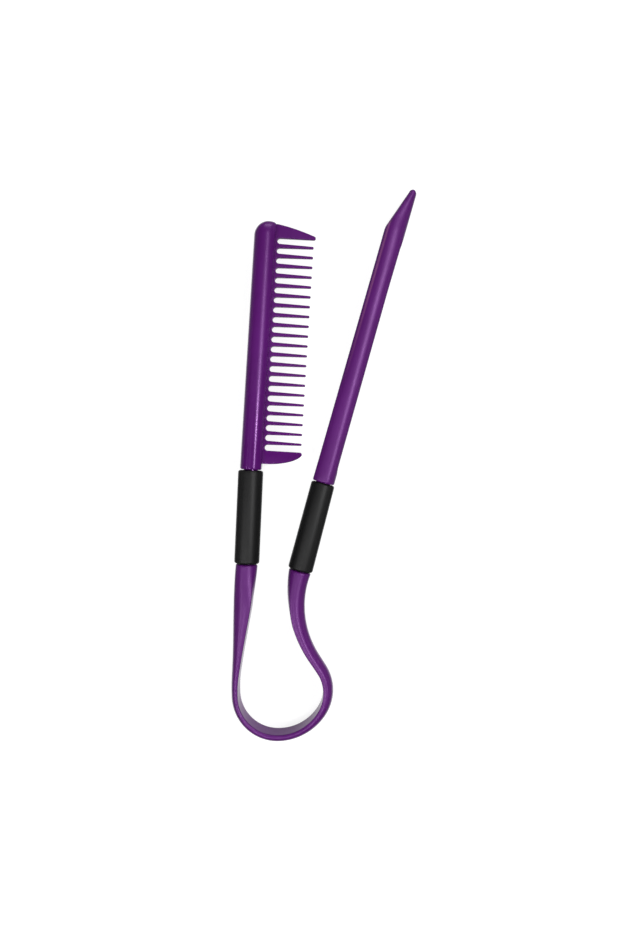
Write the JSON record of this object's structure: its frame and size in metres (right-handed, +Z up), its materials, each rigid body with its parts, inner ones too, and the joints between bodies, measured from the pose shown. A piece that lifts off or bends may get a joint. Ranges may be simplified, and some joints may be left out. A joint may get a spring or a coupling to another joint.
{
  "type": "squeeze comb for straightening hair",
  "caption": "Sprung V-shaped styling comb: a toothed arm and a slotted clamp arm with rubber grips, joined by a springy loop that lets the hand squeeze them together.",
  "frame": {"origin": "on the table, under the middle of the comb's bounding box", "axes": "+Y from the loop towards the tips of the arms, +X from the toothed arm towards the clamp arm, +Z up from the table through the comb's thickness"},
  "size_m": [0.0822, 0.2442, 0.0111],
  "materials": {
    "purple_plastic": "smooth glossy moulded plastic",
    "black_rubber": "smooth matt rubber"
  },
  "bodies": {
    "comb_side": {"comb_head": "purple_plastic", "comb_grip": "black_rubber", "spring_loop": "purple_plastic"},
    "clamp_side": {"clamp_arm": "purple_plastic", "clamp_grip": "black_rubber"}
  },
  "joints": [
    {"name": "squeeze", "type": "hinge", "parent": "comb_side", "child": "clamp_side", "pos_m": [-0.02087, -0.11041, 0.00555], "axis": [0, 0, 1], "range_deg": [-4, 11], "stiffness_Nm_per_rad": 2.4, "deforming": ["spring_loop"]}
  ]
}
